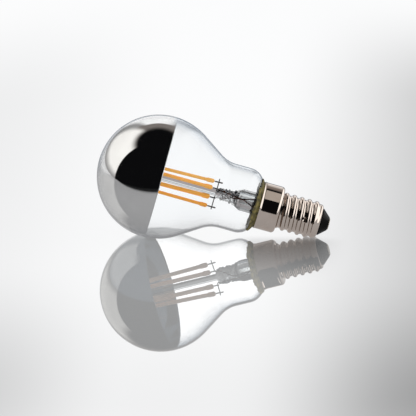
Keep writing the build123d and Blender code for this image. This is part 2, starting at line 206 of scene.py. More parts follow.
def over(tree, base, colour, mask):
    """Colour laid over a base by a mask; each is a socket or a plain colour."""
    mix = tree.nodes.new("ShaderNodeMix")
    mix.data_type = "RGBA"
    tree.links.new(mask, mix.inputs["Factor"])
    for source, socket in ((base, "A"), (colour, "B")):
        if isinstance(source, tuple):
            mix.inputs[socket].default_value = source
        else:
            tree.links.new(source, mix.inputs[socket])
    return mix.outputs["Result"]


def ramp(tree, value, start, end):
    """Mask that climbs evenly from 0 where the value is at the start to 1 where it is at the end."""
    node = tree.nodes.new("ShaderNodeMapRange")
    set_sockets(node, From_Min=start, From_Max=end)
    feed(tree, node, Value=value)
    return node.outputs["Result"]


def value_between(tree, mask, low, high):
    """Value that goes from low to high as the mask goes from 0 to 1."""
    node = tree.nodes.new("ShaderNodeMapRange")
    set_sockets(node, To_Min=low, To_Max=high)
    feed(tree, node, Value=mask)
    return node.outputs["Result"]


def axis_mapping(tree):
    """Coordinates on the lamp's axis, in metres from the globe's centre: -X is up and Z runs to the cap."""
    place = tree.nodes.new("ShaderNodeTexCoord")
    mapping = tree.nodes.new("ShaderNodeMapping")
    mapping.vector_type = "TEXTURE"
    set_sockets(mapping, Location=globe_centre, Rotation=(0.0, pi / 2 + tilt, 0.0))
    feed(tree, mapping, Vector=place.outputs["Object"])
    return mapping.outputs["Vector"]


def axis_parts(tree):
    """The three coordinates on the lamp's axis, one by one."""
    node = tree.nodes.new("ShaderNodeSeparateXYZ")
    feed(tree, node, Vector=axis_mapping(tree))
    return node.outputs


def mottle_group():
    """Soft clouds: layered noise on the lamp's axis, pushed apart about its middle by the contrast."""
    tree = bpy.data.node_groups.new("mottle", "ShaderNodeTree")
    for name, value in (("Scale", 500.0), ("Detail", 3.0), ("Stretch", 1.0), ("Contrast", 1.0)):
        socket = tree.interface.new_socket(name, in_out="INPUT", socket_type="NodeSocketFloat")
        socket.default_value = value
    tree.interface.new_socket("Mask", in_out="OUTPUT", socket_type="NodeSocketFloat")
    given = tree.nodes.new("NodeGroupInput").outputs
    taken = tree.nodes.new("NodeGroupOutput").inputs
    stretch = tree.nodes.new("ShaderNodeCombineXYZ")
    set_sockets(stretch, X=1.0, Y=1.0)
    feed(tree, stretch, Z=given["Stretch"])
    scaled = tree.nodes.new("ShaderNodeVectorMath")
    scaled.operation = "MULTIPLY"
    tree.links.new(axis_mapping(tree), scaled.inputs[0])
    tree.links.new(stretch.outputs["Vector"], scaled.inputs[1])
    noise = tree.nodes.new("ShaderNodeTexNoise")
    feed(tree, noise, Vector=scaled.outputs["Vector"], Scale=given["Scale"], Detail=given["Detail"])
    centred = math_of(tree, "SUBTRACT", noise.outputs["Fac"], 0.5)
    pushed = math_of(tree, "MULTIPLY_ADD", centred, given["Contrast"], 0.5)
    pushed.node.use_clamp = True
    tree.links.new(pushed, taken["Mask"])
    return tree


mottle = mottle_group()


def mottled(tree, **values):
    """Mask from one use of the mottle effect, with its own values."""
    node = tree.nodes.new("ShaderNodeGroup")
    node.node_tree = mottle
    set_sockets(node, **values)
    return node.outputs["Mask"]


def shader_of(material):
    """Principled shader of a material."""
    return next(n for n in material.node_tree.nodes if n.type == "BSDF_PRINCIPLED")


def finish(name):
    """New material, with its node tree and its principled shader."""
    material = bpy.data.materials.new(name)
    material.use_nodes = True
    return material, material.node_tree, shader_of(material)


def roughen(tree, shader, height, depth):
    """Bump of a depth in millimetres on a shader's normal, from a height that runs from 0 to 1."""
    bump = tree.nodes.new("ShaderNodeBump")
    set_sockets(bump, Strength=1.0, Distance=depth * MM)
    feed(tree, bump, Height=height)
    feed(tree, shader, Normal=bump.outputs["Normal"])


def wear(piece, material):
    """Gives a piece one material."""
    piece.data.materials.clear()
    piece.data.materials.append(material)


def gel_finish():
    """Phosphor gel: orange and waxy, paler in clouds, with painted light that makes the upper bars paler and
    a faint painted glow in its own colour as fill light. Its image in the table and at second hand has
    painted shade."""
    material, tree, shader = finish("phosphor_gel")
    # Painted glow: the gel gives off a faint light in its own colour, standing in for fill light.
    set_sockets(shader, IOR=1.42, Coat_Weight=0.35, Coat_Roughness=0.18, Emission_Strength=GEL_PAINTED_GLOW)
    clouds = mottled(tree, Scale=420.0, Detail=4.0, Contrast=1.6)
    grain = mottled(tree, Scale=5200.0, Detail=2.0)
    # Painted light: the gel is paler towards the lamp's upper side.
    upper = ramp(tree, axis_parts(tree)["X"], PAINTED_LIGHT_SIDE[0] * MM, PAINTED_LIGHT_SIDE[1] * MM)
    cloudy = value_between(tree, clouds, 0.0, PALER_IN_CLOUDS)
    gel = over(tree, GEL_DEEP, GEL_PALE, math_of(tree, "MULTIPLY_ADD", upper, PAINTED_LIGHT_UPWARDS, cloudy))
    # Painted shade: the gel seen in the table's reflection or at second hand turns dark brown.
    path = tree.nodes.new("ShaderNodeLightPath").outputs
    mirrored = math_of(tree, "MINIMUM", path["Glossy Depth"], 1.0)
    in_table = math_of(tree, "MULTIPLY", mirrored, path["Is Transmission Ray"])
    again = math_of(tree, "GREATER_THAN", path["Glossy Depth"], SECOND_BOUNCE)
    gel = over(tree, gel, GEL_PAINTED_SHADE, math_of(tree, "MAXIMUM", in_table, again))
    feed(tree, shader, Base_Color=gel, Emission_Color=gel, Roughness=value_between(tree, grain, 0.34, 0.5))
    roughen(tree, shader, grain, GEL_GRAIN)
    return material


phosphor = gel_finish()
for node, (foot, head, turn) in STRIP_PLACES.items():
    bar = skin(f"gel_{node}", [(gel_bar(foot, head, turn), False, False)], node)
    wear(bar, phosphor)

# Pins, lead wires and bridge
# Nickel-plated steel pins leave the strips; two leads climb through the press and turn out across the foot
# pins, and a bent bridge joins the head pins. Inside the glass the leads are copper-clad, so they show red.
PRESS_END = 21.9
COPPER_FADE = 1.0
WIRE_NICKEL = (0.24, 0.225, 0.215, 1.0)
WIRE_DULL = (0.12, 0.11, 0.105, 1.0)
WIRE_COPPER = (0.26, 0.10, 0.065, 1.0)
PIN_NODES = [f"filament_pin_{n}_{end}" for n in range(1, 5) for end in ("foot", "head")]


def wire_finish():
    """Drawn wire: dull nickel with darker clouds, turning to copper red past the press's end."""
    material, tree, shader = finish("drawn_wire")
    set_sockets(shader, Metallic=1.0)
    clouds = mottled(tree, Scale=900.0, Detail=3.0, Contrast=1.5)
    plate = over(tree, WIRE_DULL, WIRE_NICKEL, clouds)
    sheathed = ramp(tree, axis_parts(tree)["Z"], PRESS_END * MM, (PRESS_END + COPPER_FADE) * MM)
    feed(tree, shader, Base_Color=over(tree, plate, WIRE_COPPER, sheathed))
    feed(tree, shader, Roughness=value_between(tree, clouds, 0.42, 0.28))
    return material


drawn_wire = wire_finish()
for node in PIN_NODES + ["lead_wire_a", "lead_wire_b", "top_bridge"]:
    wear(frame["nodes"][node], drawn_wire)

# Stem
# One piece of lead glass: a rod with a bead that holds the bridge, the flat press pinched round the leads,
# and a tube that flares out to the bulb's spud, with the sealed exhaust tube inside. The press is wrinkled.
ROD_R = 1.2
ROD_MELT = 0.6
BEAD_R = 1.6
BRIDGE_S = -11.5
PRESS_W = 6.2
PRESS_T = 3.0
PRESS_END_W = 5.6
PRESS_END_T = 2.5
WAIST_W = 6.0
WAIST_T = 4.2
PRESS_STATIONS = (0, 0.18, 0.41, 0.67, 1)
PRESS_SOFT_ROWS = 7
PRESS_TURN = 35.07
RIPPLES = ((3, 2.1), (5, -3.4), (2, 5.2))
RIPPLE_DEPTH = 0.16
RIPPLE_THIN_SHARE = 0.8
RIPPLE_START = 0.1
RIPPLE_END = 0.95
RIPPLE_FADE = 0.3
TUBE_R = 3.95
TUBE_WALL = 1.15
TUBE_TOP = 31.1
DOME_FLATNESS = 0.75
SPUD_R = 7.8
SPUD_END = 42.912
GLASS_WALL = 0.7
FIT = 0.02
EXHAUST_R = 1.4
EXHAUST_BORE_R = 0.9
EXHAUST_END = 47.4
EXHAUST_ROOT = 0.4
EXHAUST_TIP = 1.6
EXHAUST_TIP_SLOPE = 0.6
BUBBLE_COUNT = 14
BUBBLE_SEED = 14
BUBBLE_MARGINS = (1.2, 2.0)
BUBBLE_SPREAD = (1.9, 0.9)
BUBBLE_SIZES = (0.1, 0.26)
BUBBLE_STRETCH = 1.6
STEM_COLUMNS = 96
EXHAUST_COLUMNS = 40
STEM_WAVES = (700.0, 0.03)
STEM_TINT = (0.86, 0.87, 0.87, 1.0)
GLASS_SHINE = (0.15, 0.15, 0.16, 1.0)


def arc(middle_r, middle_s, radius, start, end, count):
    """Points on a circle in the (radius, axis) half-plane, from a start to an end angle in radians."""
    angle = np.linspace(start, end, count)
    return np.stack((middle_r + radius * np.cos(angle), middle_s + radius * np.sin(angle)), -1)


def run(start, end, count):
    """Points on a straight line in the (radius, axis) half-plane."""
    return np.linspace(start, end, count)


def around_axis(columns):
    """Angles round the axis, one for each column."""
    return np.linspace(0, 2 * pi, columns, endpoint=False)


def turned(profile, columns):
    """Grid of a profile of (radius, axis) points turned about the axis: x = r cos a, y = r sin a."""
    angle = around_axis(columns)
    return lay(profile[:, :1] * np.cos(angle), profile[:, :1] * np.sin(angle), profile[:, 1:])


def press_half(depth, sizes):
    """Half-size of the press at each depth: straight between the stations, softened by a running mean."""
    half = np.interp(depth[:, 0], PRESS_STATIONS, sizes) / 2
    soft = np.ones(2 * PRESS_SOFT_ROWS + 1) / (2 * PRESS_SOFT_ROWS + 1)
    return np.convolve(np.pad(half, PRESS_SOFT_ROWS, mode="edge"), soft, "valid")[:, None]


def stem_grid():
    """Ellipse section carried along the axis, out along the rod, press, tube and flare and back up the bore;
    the press's faces are rippled by three crossed waves that fade at its two ends."""
    curl = SPUD_R - GLASS_WALL - TUBE_R
    bead = arc(0, BRIDGE_S, BEAD_R, -pi / 2, asin(sqrt(1 - (ROD_R / BEAD_R) ** 2)), 24)
    rod = run((ROD_R, bead[-1, 1]), (ROD_R, PRESS_END - ROD_MELT), 60)
    before = np.concatenate((bead, rod))
    height = np.linspace(PRESS_END, TUBE_TOP, 110)[:, None]
    depth = (height - PRESS_END) / (TUBE_TOP - PRESS_END)
    half_w = press_half(depth, (PRESS_END_W, PRESS_W, PRESS_W, WAIST_W, 2 * TUBE_R))
    half_t = press_half(depth, (PRESS_END_T, PRESS_T, PRESS_T, WAIST_T, 2 * TUBE_R))
    tube = run((TUBE_R, TUBE_TOP), (TUBE_R, SPUD_END - curl), 40)
    flare = arc(TUBE_R + curl, SPUD_END - curl, curl, pi, pi / 2, 24)
    rim = np.array([(SPUD_R, SPUD_END + FIT), (SPUD_R, SPUD_END + TUBE_WALL)])
    under = arc(TUBE_R + curl, SPUD_END - curl, curl + TUBE_WALL, pi / 2, pi, 24)
    bore_r = TUBE_R - TUBE_WALL
    bore = run((bore_r, SPUD_END - curl), (bore_r, TUBE_TOP), 30)
    dome = arc(0, TUBE_TOP, bore_r, 0, -pi / 2, 24)
    dome[:, 1] = TUBE_TOP + DOME_FLATNESS * (dome[:, 1] - TUBE_TOP)
    after = np.concatenate((tube, flare, rim, under, bore, dome))
    angle = around_axis(STEM_COLUMNS)
    ripple = RIPPLE_DEPTH * sum(np.sin(turns * angle + pace * height) for turns, pace in RIPPLES)
    ripple = ripple * smooth(depth / RIPPLE_START) * smooth((RIPPLE_END - depth) / RIPPLE_FADE)
    press_x = (half_w + ripple) * np.cos(angle)
    press_y = (half_t + RIPPLE_THIN_SHARE * ripple) * np.sin(angle)
    x = np.concatenate((before[:, :1] * np.cos(angle), press_x, after[:, :1] * np.cos(angle)))
    y = np.concatenate((before[:, :1] * np.sin(angle), press_y, after[:, :1] * np.sin(angle)))
    s = np.concatenate((before[:, 1:], height, after[:, 1:]))
    lean = radians(PRESS_TURN)
    return lay(x * cos(lean) - y * sin(lean), x * sin(lean) + y * cos(lean), s)


def bubble(x, y, s, size):
    """Small ellipsoid of air: a sphere turned about the axis and drawn out along it."""
    ball = arc(0, 0, size, -pi / 2, pi / 2, 9)
    angle = around_axis(12)
    stretched = s + BUBBLE_STRETCH * ball[:, 1:]
    return lay(x + ball[:, :1] * np.cos(angle), y + ball[:, :1] * np.sin(angle), stretched)


def exhaust_grid():
    """Sealed tube turned about the axis: outside, round tip, then the bore back up."""
    top = TUBE_TOP - EXHAUST_ROOT
    sealed = EXHAUST_END - EXHAUST_TIP
    open_end = sealed - EXHAUST_TIP_SLOPE
    outside = run((EXHAUST_R, top), (EXHAUST_R, EXHAUST_END - EXHAUST_R), 30)
    tip = arc(0, EXHAUST_END - EXHAUST_R, EXHAUST_R, 0, pi / 2, 12)
    inside = run((0.0, sealed), (EXHAUST_BORE_R, open_end), 8)
    bore = run((EXHAUST_BORE_R, open_end), (EXHAUST_BORE_R, top), 30)
    return turned(np.concatenate((outside, tip, inside, bore)), EXHAUST_COLUMNS)


def glass_finish(name, tint, wave_scale, wave_depth):
    """Clear glass with faint waves left by the flame, of a depth in millimetres."""
    material, tree, shader = finish(name)
    set_sockets(shader, Base_Color=tint, Roughness=0.02, IOR=1.5, Transmission_Weight=1.0)
    set_sockets(shader, Specular_Tint=GLASS_SHINE)
    roughen(tree, shader, mottled(tree, Scale=wave_scale, Detail=1.0), wave_depth)
    return material


draws = np.random.default_rng(BUBBLE_SEED)
stem_shells = [(stem_grid(), False, False), (exhaust_grid(), True, False)]
for _ in range(BUBBLE_COUNT):
    bubble_s = draws.uniform(PRESS_END + BUBBLE_MARGINS[0], TUBE_TOP - BUBBLE_MARGINS[1])
    bubble_x = draws.uniform(-BUBBLE_SPREAD[0], BUBBLE_SPREAD[0])
    bubble_y = draws.uniform(-BUBBLE_SPREAD[1], BUBBLE_SPREAD[1])
    stem_shells.append((bubble(bubble_x, bubble_y, bubble_s, draws.uniform(*BUBBLE_SIZES)), False, True))
stem = skin("stem_glass", stem_shells, "glass_stem")
wear(stem, glass_finish("stem_flint", STEM_TINT, *STEM_WAVES))

# Mirror
# Silver film laid on the inside of the bulb's crown from the pole to just past the globe's widest circle.
# It is thin and bright, with a clean edge and a few faint clouds where the coat is thinner.
MIRROR_EDGE = 0.9
MIRROR_FILM = 0.08
MIRROR_COLUMNS = 220
SILVER = (0.90, 0.895, 0.885, 1.0)
SILVER_THIN = (0.82, 0.81, 0.80, 1.0)


def mirror_grid():
    """Two nested spheres cut at the mirror's edge and joined there: r = R cos a, s = R sin a."""
    outer_r = globe_r - GLASS_WALL - FIT
    inner_r = outer_r - MIRROR_FILM
    outside = arc(0, 0, outer_r, -pi / 2, asin(MIRROR_EDGE / outer_r), 150)
    inside = arc(0, 0, inner_r, asin(MIRROR_EDGE / inner_r), -pi / 2, 60)
    return turned(np.concatenate((outside, inside)), MIRROR_COLUMNS)


def mirror_finish():
    """Polished silver seen through glass, with faint clouds in its colour and polish."""
    material, tree, shader = finish("silver_film")
    set_sockets(shader, Metallic=1.0)
    clouds = mottled(tree, Scale=160.0, Detail=4.0, Contrast=1.2)
    feed(tree, shader, Base_Color=over(tree, SILVER_THIN, SILVER, clouds))
    feed(tree, shader, Roughness=value_between(tree, clouds, 0.035, 0.022))
    return material


crown = skin("crown_mirror", [(mirror_grid(), False, False)], "mirror_coating")
wear(crown, mirror_finish())

# Bulb
# Clear soda-lime glass, blown as one drop: globe, cone, hollow curve into the neck, round shoulder and a spud
# that the cap is cemented to. The wall is even and the spud's end is open.
CONE = radians(33.3)
NECK_R = 12.0
NECK_BLEND_R = 10.8
NECK_END = 31.544
SHOULDER_R = 6.2
BULB_COLUMNS = 200
BULB_WAVES = (60.0, 0.01)
BULB_TINT = (0.99, 0.995, 1.0, 1.0)
BULB_PAINTED_EDGE_SHADE = (0.40, 0.49, 0.60, 1.0)
EDGE_FACING = (0.4, 0.95)
EDGE_SIDE = (-3.0, -9.0)
EDGE_CLEAR = (-1.0, 1.0)


def bulb_profile(inset):
    """Outline of the bulb drawn in by an inset: sphere, tangent cone, hollow arc, neck, shoulder, spud."""
    globe = globe_r - inset
    neck = NECK_R - inset
    blend = NECK_BLEND_R + inset
    shoulder = SHOULDER_R - inset
    base = NECK_R - SHOULDER_R
    spud = SPUD_R - inset
    corner = globe * sin(CONE) + (globe * cos(CONE) - neck) / tan(CONE)
    neck_top = corner + blend * tan(CONE / 2)
    hollow = arc(neck + blend, neck_top, blend, pi + CONE, pi, 44)
    turn = acos((spud - base) / shoulder)
    return np.concatenate((
        arc(0, 0, globe, -pi / 2, CONE, 110),
        run((globe * cos(CONE), globe * sin(CONE)), hollow[0], 24),
        hollow,
        run((neck, neck_top), (neck, NECK_END), 12),
        arc(base, NECK_END, shoulder, 0, turn, 40),
        run((spud, NECK_END + shoulder * sin(turn)), (spud, SPUD_END), 8),
    ))


def times(tree, first, *others):
    """Product of sockets or plain numbers."""
    for other in others:
        first = math_of(tree, "MULTIPLY", first, other)
    return first


def soft_step(tree, value, start, end):
    """Ramp with level ends: 0 where the value is at the start, 1 where it is at the end."""
    step = ramp(tree, value, start, end)
    step.node.interpolation_type = "SMOOTHSTEP"
    return step


def bulb_finish():
    """Bulb glass, with painted blue-grey shade where its upper side is clear and seen edge-on, standing in
    for the dark ceiling bent into view there."""
    material = glass_finish("bulb_soda_glass", BULB_TINT, *BULB_WAVES)
    tree = material.node_tree
    place = axis_parts(tree)
    upper = soft_step(tree, place["X"], EDGE_SIDE[0] * MM, EDGE_SIDE[1] * MM)
    clear = soft_step(tree, place["Z"], EDGE_CLEAR[0] * MM, EDGE_CLEAR[1] * MM)
    facing = tree.nodes.new("ShaderNodeLayerWeight").outputs["Facing"]
    # Painted shade: blue-grey on the upper glass where it is seen edge-on.
    painted_edge_shade = times(tree, soft_step(tree, facing, *EDGE_FACING), upper, clear)
    feed(tree, shader_of(material), Base_Color=over(tree, BULB_TINT, BULB_PAINTED_EDGE_SHADE, painted_edge_shade))
    return material


bulb_walls = np.concatenate((bulb_profile(0.0), bulb_profile(GLASS_WALL)[::-1]))
bulb_shells = [(turned(bulb_walls, BULB_COLUMNS), False, False)]
bulb = skin("bulb_glass", bulb_shells, "glass_envelope")
wear(bulb, bulb_finish())

# Cement
# Olive-brown basing cement, squeezed up round the shoulder when the cap was pressed on and baked hard. Its
# upper edge is ragged and its face is lumpy.
SKIRT_R = 8.6
SKIRT_RIM = 37.912
SHEET = 0.3
CEMENT_BAND = 1.3
CEMENT_LEAST = 0.15
CEMENT_PROUD = 0.25
CEMENT_INSET = 0.1
CEMENT_COLUMNS = 360
RAGGED_MEAN = 0.4
RAGGED_UPWARDS = 0.25
RAGGED_TO_VIEWER = -0.6
RAGGED_WAVES = ((0.14, 7, 0), (0.1, 17, 1), (0.07, 41, 2))
LUMPS = ((23, 9), (37, -14), (61, 21))
LUMP_DEPTH = 0.045
LUMP_START = 0.12
BACK_TURN = 0.05
BACK_FIT = 0.01
CEMENT_GRAIN = 0.06
CEMENT_DARK = (0.03, 0.026, 0.01, 1.0)
CEMENT_PALE = (0.27, 0.22, 0.065, 1.0)


def cement_grid():
    """Ring turned about the axis: an arc just outside the shoulder, then the rim, the skirt's inside and the
    spud; the arc is swollen and its edge shifted by waves round the ring."""
    base = NECK_R - SHOULDER_R
    turn = acos((SPUD_R - base) / SHOULDER_R)
    shoulder_end = NECK_END + SHOULDER_R * sin(turn)
    angle = around_axis(CEMENT_COLUMNS)
    ragged = sum(depth * np.sin(waves * angle + shift) for depth, waves, shift in RAGGED_WAVES)
    ragged += RAGGED_MEAN + RAGGED_UPWARDS * np.cos(angle) + RAGGED_TO_VIEWER * np.sin(angle)
    ragged = np.minimum(ragged, CEMENT_BAND - CEMENT_LEAST)
    low = np.arcsin((shoulder_end - CEMENT_BAND + ragged - NECK_END) / (SHOULDER_R + CEMENT_PROUD))
    high = acos((SKIRT_R - CEMENT_INSET - base) / (SHOULDER_R + CEMENT_PROUD))
    share = np.linspace(0, 1, 26)[:, None]
    bend = low + share * (high - low)
    lumps = sum(np.sin(waves * angle + pace * share) for waves, pace in LUMPS)
    proud = SHOULDER_R + (CEMENT_PROUD + LUMP_DEPTH * lumps) * smooth(share / LUMP_START)
    skirt_r = SKIRT_R - SHEET - FIT
    core_r = SPUD_R + FIT
    inner = np.array((
        (SKIRT_R - CEMENT_INSET, SKIRT_RIM),
        (skirt_r, SKIRT_RIM),
        (skirt_r, SPUD_END - CEMENT_INSET),
        (core_r, SPUD_END - CEMENT_INSET),
        (core_r, shoulder_end),
    ))
    inner = np.repeat(inner[:, :, None], CEMENT_COLUMNS, axis=2)
    back = high + BACK_TURN + np.linspace(0, 1, 12)[:, None] * (low - high - BACK_TURN)
    back_r = base + (SHOULDER_R + BACK_FIT) * np.cos(back)
    back_s = NECK_END + (SHOULDER_R + BACK_FIT) * np.sin(back)
    r = np.concatenate((base + proud * np.cos(bend), inner[:, 0], back_r))
    s = np.concatenate((NECK_END + proud * np.sin(bend), inner[:, 1], back_s))
    return lay(r * np.cos(angle), r * np.sin(angle), s)


def cement_finish():
    """Baked cement: olive-brown clouds and dark specks, dull and grainy."""
    material, tree, shader = finish("basing_cement")
    clouds = mottled(tree, Scale=750.0, Detail=5.0, Contrast=2.6)
    grain = mottled(tree, Scale=3500.0, Detail=3.0, Contrast=1.4)
    feed(tree, shader, Base_Color=over(tree, CEMENT_DARK, CEMENT_PALE, clouds))
    feed(tree, shader, Roughness=value_between(tree, clouds, 0.45, 0.7))
    roughen(tree, shader, grain, CEMENT_GRAIN)
    return material


cement = skin("cement_band", [(cement_grid(), True, False)], "basing_cement")
wear(cement, cement_finish())

# Driver
# Small glass-fibre board stood on the insulator, with a smoothing capacitor on one face, a bridge rectifier
# and a regulator chip on the other, and one bare wire each to the shell and to the centre contact.
BOARD_GREEN = ((0.02, 0.09, 0.045, 1.0), (0.04, 0.15, 0.07, 1.0))
EPOXY_BLACK = ((0.012, 0.012, 0.013, 1.0), (0.03, 0.03, 0.032, 1.0))
SLEEVE_BLUE = ((0.015, 0.03, 0.09, 1.0), (0.03, 0.05, 0.14, 1.0))
MOULDED_ROUGH_SPAN = 0.08
MOULDED_GRAIN = 0.02


def moulded_finish(name, colours, rough, scale):
    """Moulded or laminated part: two close colours in fine clouds, with a faint grain."""
    material, tree, shader = finish(name)
    clouds = mottled(tree, Scale=scale, Detail=3.0, Contrast=1.6)
    polish = value_between(tree, clouds, rough - MOULDED_ROUGH_SPAN, rough + MOULDED_ROUGH_SPAN)
    feed(tree, shader, Base_Color=over(tree, *colours, clouds), Roughness=polish)
    roughen(tree, shader, clouds, MOULDED_GRAIN)
    return material


laminate = moulded_finish("board_laminate", BOARD_GREEN, rough=0.4, scale=1500.0)
sleeve = moulded_finish("capacitor_sleeve", SLEEVE_BLUE, rough=0.3, scale=600.0)
epoxy = moulded_finish("black_epoxy", EPOXY_BLACK, rough=0.5, scale=2500.0)
for node, material in (
    ("driver_board", laminate),
    ("smoothing_capacitor", sleeve),
    ("bridge_rectifier", epoxy),
    ("regulator_chip", epoxy),
    ("shell_wire", drawn_wire),
    ("contact_wire", drawn_wire),
):
    wear(frame["nodes"][node], material)

# Screw cap
# Thin brass sheet, deep-drawn with a wide skirt, a step and a barrel, its round thread rolled in and its end
# turned over the insulator, then nickel-plated. A punch mark on the thread locks it.
SKIRT_END = 45.512
CAP_END = 60.612
ROOT_R = 6.2
CREST_R = 6.95
PITCH = 2.82
FIRST_CREST = 1.35
SKIRT_CORNER = 1.2
RIM_LEN = 1.0
RIM_FLARE = 0.16
RIM_EDGE = 0.05
RIM_BEVEL = 0.04
INNER_CORNER = 0.6
END_CORNER = 0.9
RUN_IN = 0.5
RUN_OUT = 1.9
RUN_OUT_MARGIN = 0.5
INSULATOR_R = 4.95
DIMPLE_S = 54.8
DIMPLE_TURN = radians(73.0)
DIMPLE_R = 0.55
DIMPLE_DEPTH = 0.45
CAP_COLUMNS = 280
DRAWN_LINES = 0.001
NICKEL = (0.88, 0.78, 0.71, 1.0)
NICKEL_WARM = (0.81, 0.69, 0.61, 1.0)


def thread_rise(angle, s):
    """Height of the thread at a place: equal arcs, round at the crest and hollow at the root, that meet half
    way up; the crest climbs one pitch a turn and is faded in at the skirt and out towards the cap's end."""
    phase = (s - SKIRT_END - FIRST_CREST) / PITCH - angle / (2 * pi)
    off = np.abs(phase - np.round(phase)) * PITCH
    height = CREST_R - ROOT_R
    bend = ((PITCH / 4) ** 2 + (height / 2) ** 2) / height
    crest = height - bend + np.sqrt(np.clip(bend**2 - off**2, 0, None))
    root = bend - np.sqrt(np.clip(bend**2 - (PITCH / 2 - off) ** 2, 0, None))
    start = smooth((s - SKIRT_END) / RUN_IN)
    end = np.clip((CAP_END - RUN_OUT_MARGIN - s) / RUN_OUT, 0, 1)
    return np.where(off < PITCH / 4, crest, root) * start * end


def cap_grid():
    """Profile of the drawn sheet turned about the axis, from flared rim to turned-in end and back inside;
    the thread's rise and the punched dimple are added to its radius on the barrel."""
    bell = np.linspace(1, 0, 14)[:, None]
    bell = np.concatenate((SKIRT_R + RIM_FLARE * bell**2, SKIRT_RIM + RIM_LEN * (1 - bell)), 1)
    rim_r = bell[0, 0]
    rim = np.array((
        (rim_r - SHEET, SKIRT_RIM + RIM_BEVEL),
        (rim_r - RIM_EDGE, SKIRT_RIM),
        (rim_r, SKIRT_RIM + RIM_EDGE),
    ))
    skirt = run((SKIRT_R, SKIRT_RIM + RIM_LEN), (SKIRT_R, SKIRT_END - SKIRT_CORNER), 14)[1:]
    corner = arc(SKIRT_R - SKIRT_CORNER, SKIRT_END - SKIRT_CORNER, SKIRT_CORNER, 0, pi / 2, 18)
    step = run((SKIRT_R - SKIRT_CORNER, SKIRT_END), (ROOT_R, SKIRT_END), 8)
    barrel = run((ROOT_R, SKIRT_END), (ROOT_R, CAP_END - END_CORNER), 230)
    end = arc(ROOT_R - END_CORNER, CAP_END - END_CORNER, END_CORNER, 0, pi / 2, 14)
    lip = run((ROOT_R - END_CORNER, CAP_END), (INSULATOR_R, CAP_END), 4)
    inside = np.array((
        (INSULATOR_R, CAP_END - SHEET),
        (ROOT_R - SHEET, CAP_END - SHEET),
        (ROOT_R - SHEET, SKIRT_END - SHEET),
        (SKIRT_R - SHEET - INNER_CORNER, SKIRT_END - SHEET),
        (SKIRT_R - SHEET, SKIRT_END - SHEET - INNER_CORNER),
        (SKIRT_R - SHEET, SKIRT_RIM + RIM_LEN),
    ))
    before = np.concatenate((rim, bell[1:], skirt, corner, step))
    profile = np.concatenate((before, barrel, end, lip, inside))
    angle = around_axis(CAP_COLUMNS)
    r = np.repeat(profile[:, :1], CAP_COLUMNS, axis=1)
    s = np.repeat(profile[:, 1:], CAP_COLUMNS, axis=1)
    rolled = slice(len(before), len(before) + len(barrel) + len(end))
    aside = (angle - DIMPLE_TURN) * CREST_R
    punch = np.exp(-(aside**2 + (s[rolled] - DIMPLE_S) ** 2) / DIMPLE_R**2)
    r[rolled] += thread_rise(angle, s[rolled]) - DIMPLE_DEPTH * punch
    return lay(r * np.cos(angle), r * np.sin(angle), s)


def nickel_finish():
    """Nickel plate: bright and warm, with fine drawing lines round the axis and dull clouds from handling."""
    material, tree, shader = finish("nickel_plate")
    set_sockets(shader, Metallic=1.0)
    clouds = mottled(tree, Scale=300.0, Detail=4.0, Contrast=1.8)
    lines = mottled(tree, Scale=160.0, Detail=4.0, Stretch=60.0, Contrast=1.3)
    feed(tree, shader, Base_Color=over(tree, NICKEL_WARM, NICKEL, clouds))
    feed(tree, shader, Roughness=value_between(tree, lines, 0.03, 0.06))
    roughen(tree, shader, lines, DRAWN_LINES)
    return material


cap = skin("screw_cap", [(cap_grid(), True, False)], "cap_shell")
wear(cap, nickel_finish())

# Insulator
# Black glass, pressed hot into the cap's end and drawn out to a blunt cone that carries the centre contact.
# It is glossy, with softened edges and a few shallow flow marks.
CONE_TIP = 63.812
TIP_R = 2.6
COLLAR = 0.35
EDGE_R = 0.3
INSULATOR_FACE = 58.112
RIVET_R = 0.9
RIVET_HOLE = 0.5
FLOW_MARKS = ((0.012, 5, 0), (0.008, 11, 1.3))
FLOW_FADE = 1.0
FLOW_MARGIN = 0.1
INSULATOR_COLUMNS = 160
ORANGE_PEEL = 0.004
GLASS_BLACK = (0.002, 0.002, 0.002, 1.0)
GLASS_BLOOM = (0.007, 0.006, 0.0055, 1.0)


def insulator_grid():
    """Profile turned about the axis: disc in the cap, collar, cone with rounded edges, flat tip and rivet's
    hole; the cone's face has faint waves round it."""
    cone_turn = atan2(INSULATOR_R - TIP_R, CONE_TIP - CAP_END - COLLAR)
    lower = arc(INSULATOR_R - EDGE_R, CAP_END + COLLAR, EDGE_R, 0, cone_turn, 8)
    upper = arc(TIP_R - EDGE_R, CONE_TIP - EDGE_R, EDGE_R, cone_turn, pi / 2, 8)
    disc_r = ROOT_R - SHEET - FIT
    disc_s = CAP_END - SHEET - FIT
    profile = np.concatenate((
        np.array(((RIVET_R, INSULATOR_FACE), (disc_r, INSULATOR_FACE))),
        np.array(((disc_r, disc_s), (INSULATOR_R - FIT, disc_s))),
        run((INSULATOR_R - FIT, CAP_END - SHEET), lower[0], 6),
        lower,
        run(lower[-1], upper[0], 40),
        upper,
        np.array(((RIVET_R, CONE_TIP), (RIVET_R, CONE_TIP - RIVET_HOLE))),
    ))
    angle = around_axis(INSULATOR_COLUMNS)
    flow = sum(depth * np.sin(waves * angle + shift) for depth, waves, shift in FLOW_MARKS)
    on_cone = smooth((profile[:, 1:] - CAP_END) / FLOW_FADE) * (profile[:, :1] > RIVET_R + FLOW_MARGIN)
    r = profile[:, :1] + flow * on_cone
    return lay(r * np.cos(angle), r * np.sin(angle), profile[:, 1:])


